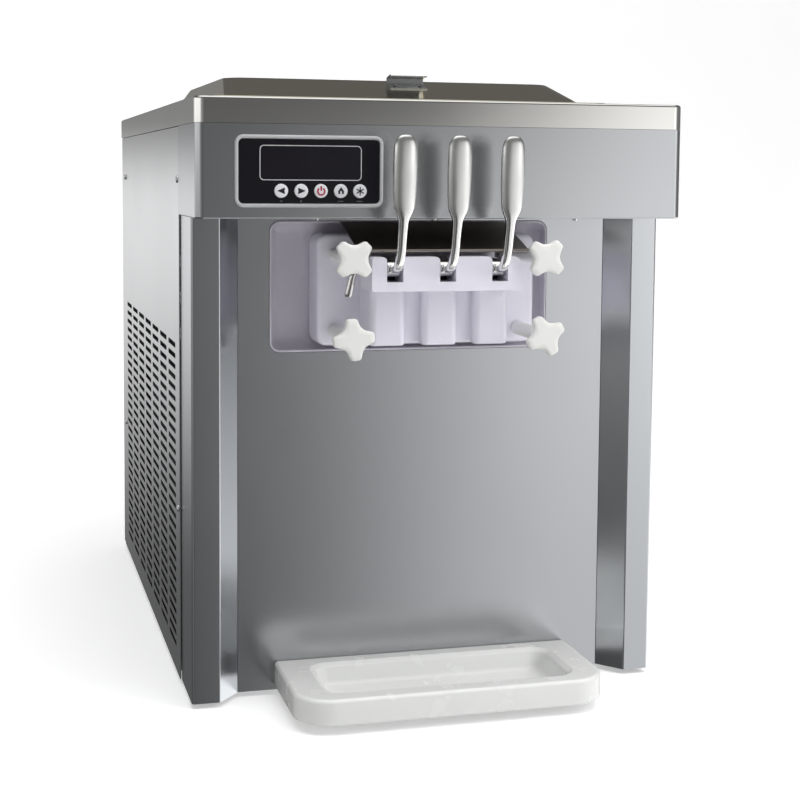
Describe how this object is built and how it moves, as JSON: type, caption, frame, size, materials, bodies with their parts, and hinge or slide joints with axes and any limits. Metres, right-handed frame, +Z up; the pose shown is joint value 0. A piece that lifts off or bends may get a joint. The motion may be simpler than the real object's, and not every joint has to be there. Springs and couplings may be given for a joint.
{
  "type": "soft-serve ice cream maker",
  "caption": "Countertop soft-serve ice cream maker with pull handles, twin hoppers under a lift-off lid, control panel, louvred steel body and drip tray.",
  "frame": {"origin": "bottom centre of the bounding box, on the surface the feet rest on", "axes": "+Z up, front (handles and drip tray) towards -Y, +X to the right seen from the front"},
  "size_m": [0.5426, 0.8982, 0.6985],
  "materials": {
    "body_steel": "satin brushed stainless sheet",
    "base_steel": "plain zinc-coated sheet",
    "foot_rubber": "matt moulded rubber",
    "fastener_steel": "bright plated pan heads",
    "inlet_plastic": "matt moulded plastic",
    "hopper_steel": "bright drawn stainless",
    "lid_steel": "polished pressed stainless",
    "clip_chrome": "polished folded strip",
    "bezel_plastic": "silver-grey moulded rim",
    "panel_glass": "black gloss panel",
    "button_plastic": "silver-white keys",
    "surround_plastic": "satin white moulding",
    "block_plastic": "smooth white food-grade plastic",
    "rod_chrome": "polished bent rod",
    "shield_steel": "mirror-polished stainless sheet",
    "handle_chrome": "polished cast stainless",
    "plunger_plastic": "turned plastic with seal grooves",
    "knob_plastic": "satin white moulding",
    "tray_plastic": "glossy white moulding",
    "cylinder_steel": "stainless tube",
    "beater_plastic": "white scraper plastic",
    "gearbox_iron": "painted casting",
    "motor_paint": "dark paint",
    "compressor_paint": "black enamel",
    "condenser_aluminium": "finned",
    "fan_plastic": "matt moulded plastic"
  },
  "bodies": {
    "housing": {"front_panel": "body_steel", "pillar_left": "body_steel", "pillar_right": "body_steel", "side_panel_left": "body_steel", "side_panel_right": "body_steel", "rear_panel": "body_steel", "head_fascia": "body_steel", "top_cover": "body_steel", "base_pan": "base_steel", "foot_front_left": "foot_rubber", "foot_front_right": "foot_rubber", "foot_rear_left": "foot_rubber", "foot_rear_right": "foot_rubber", "screw_left_front_upper": "fastener_steel", "screw_left_rear_upper": "fastener_steel", "screw_left_front_lower": "fastener_steel", "screw_left_rear_lower": "fastener_steel", "screw_right_front_upper": "fastener_steel", "screw_right_rear_upper": "fastener_steel", "screw_right_front_lower": "fastener_steel", "screw_right_rear_lower": "fastener_steel", "power_inlet": "inlet_plastic", "hopper_left": "hopper_steel", "hopper_right": "hopper_steel", "feed_tube_left": "hopper_steel", "feed_tube_right": "hopper_steel", "control_bezel": "bezel_plastic", "control_glass": "panel_glass", "front_surround": "surround_plastic", "discharge_block": "block_plastic", "pivot_rod": "rod_chrome", "splash_shield": "shield_steel", "cylinder_left": "cylinder_steel", "cylinder_right": "cylinder_steel", "gearbox": "gearbox_iron", "drive_motor": "motor_paint", "fan_motor": "motor_paint", "compressor": "compressor_paint", "condenser": "condenser_aluminium"},
    "handle_left": {"handle_left": "handle_chrome"},
    "plunger_left": {"plunger_left": "plunger_plastic"},
    "handle_middle": {"handle_middle": "handle_chrome"},
    "plunger_middle": {"plunger_middle": "plunger_plastic"},
    "handle_right": {"handle_right": "handle_chrome"},
    "plunger_right": {"plunger_right": "plunger_plastic"},
    "knob_upper_left": {"knob_upper_left": "knob_plastic"},
    "knob_upper_right": {"knob_upper_right": "knob_plastic"},
    "knob_lower_left": {"knob_lower_left": "knob_plastic"},
    "knob_lower_right": {"knob_lower_right": "knob_plastic"},
    "button_back": {"button_back": "button_plastic"},
    "button_forward": {"button_forward": "button_plastic"},
    "button_power": {"button_power": "button_plastic"},
    "button_mix": {"button_mix": "button_plastic"},
    "button_chill": {"button_chill": "button_plastic"},
    "lid": {"hopper_lid": "lid_steel", "lid_handle": "clip_chrome"},
    "tray": {"drip_tray": "tray_plastic"},
    "beater_left": {"beater_left": "beater_plastic"},
    "beater_right": {"beater_right": "beater_plastic"},
    "fan": {"condenser_fan": "fan_plastic"}
  },
  "joints": [
    {"name": "handle_left_pull", "type": "hinge", "parent": "housing", "child": "handle_left", "pos_m": [-0.062, -0.39115, 0.481], "axis": [1, 0, 0], "range_deg": [0, 38]},
    {"name": "plunger_left_lift", "type": "slide", "parent": "housing", "child": "plunger_left", "axis": [0, 0, 1], "range_m": [0, 0.0145]},
    {"name": "handle_middle_pull", "type": "hinge", "parent": "housing", "child": "handle_middle", "pos_m": [-0.004, -0.39115, 0.481], "axis": [1, 0, 0], "range_deg": [0, 38]},
    {"name": "plunger_middle_lift", "type": "slide", "parent": "housing", "child": "plunger_middle", "axis": [0, 0, 1], "range_m": [0, 0.0145]},
    {"name": "handle_right_pull", "type": "hinge", "parent": "housing", "child": "handle_right", "pos_m": [0.054, -0.39115, 0.481], "axis": [1, 0, 0], "range_deg": [0, 38]},
    {"name": "plunger_right_lift", "type": "slide", "parent": "housing", "child": "plunger_right", "axis": [0, 0, 1], "range_m": [0, 0.0145]},
    {"name": "knob_upper_left_turn", "type": "hinge", "parent": "housing", "child": "knob_upper_left", "pos_m": [-0.1095, -0.41615, 0.4925], "axis": [0, 1, 0], "continuous": true},
    {"name": "knob_upper_right_turn", "type": "hinge", "parent": "housing", "child": "knob_upper_right", "pos_m": [0.1015, -0.41615, 0.4925], "axis": [0, 1, 0], "continuous": true},
    {"name": "knob_lower_left_turn", "type": "hinge", "parent": "housing", "child": "knob_lower_left", "pos_m": [-0.1095, -0.41615, 0.409], "axis": [0, 1, 0], "continuous": true},
    {"name": "knob_lower_right_turn", "type": "hinge", "parent": "housing", "child": "knob_lower_right", "pos_m": [0.1015, -0.41615, 0.409], "axis": [0, 1, 0], "continuous": true},
    {"name": "button_back_press", "type": "slide", "parent": "housing", "child": "button_back", "axis": [0, 1, 0], "range_m": [0, 0.0015], "stiffness_N_per_m": 300},
    {"name": "button_forward_press", "type": "slide", "parent": "housing", "child": "button_forward", "axis": [0, 1, 0], "range_m": [0, 0.0015], "stiffness_N_per_m": 300},
    {"name": "button_power_press", "type": "slide", "parent": "housing", "child": "button_power", "axis": [0, 1, 0], "range_m": [0, 0.0015], "stiffness_N_per_m": 300},
    {"name": "button_mix_press", "type": "slide", "parent": "housing", "child": "button_mix", "axis": [0, 1, 0], "range_m": [0, 0.0015], "stiffness_N_per_m": 300},
    {"name": "button_chill_press", "type": "slide", "parent": "housing", "child": "button_chill", "axis": [0, 1, 0], "range_m": [0, 0.0015], "stiffness_N_per_m": 300},
    {"name": "lid_lift", "type": "slide", "parent": "housing", "child": "lid", "axis": [0, 0, 1], "range_m": [0, 0.16]},
    {"name": "tray_pull", "type": "slide", "parent": "housing", "child": "tray", "axis": [0, -1, 0], "range_m": [0, 0.16]},
    {"name": "beater_left_spin", "type": "hinge", "parent": "housing", "child": "beater_left", "pos_m": [-0.062, -0.12915, 0.452], "axis": [0, 1, 0], "continuous": true},
    {"name": "beater_right_spin", "type": "hinge", "parent": "housing", "child": "beater_right", "pos_m": [0.054, -0.12915, 0.452], "axis": [0, 1, 0], "continuous": true},
    {"name": "fan_spin", "type": "hinge", "parent": "housing", "child": "fan", "pos_m": [-0.19, 0.07085, 0.19], "axis": [1, 0, 0], "continuous": true}
  ],
  "couplings": [
    {"joint": "plunger_left_lift", "follows": "handle_left_pull", "m_per_rad": 0.0203},
    {"joint": "plunger_middle_lift", "follows": "handle_middle_pull", "m_per_rad": 0.0203},
    {"joint": "plunger_right_lift", "follows": "handle_right_pull", "m_per_rad": 0.0203},
    {"joint": "beater_right_spin", "follows": "beater_left_spin", "ratio": 1}
  ]
}
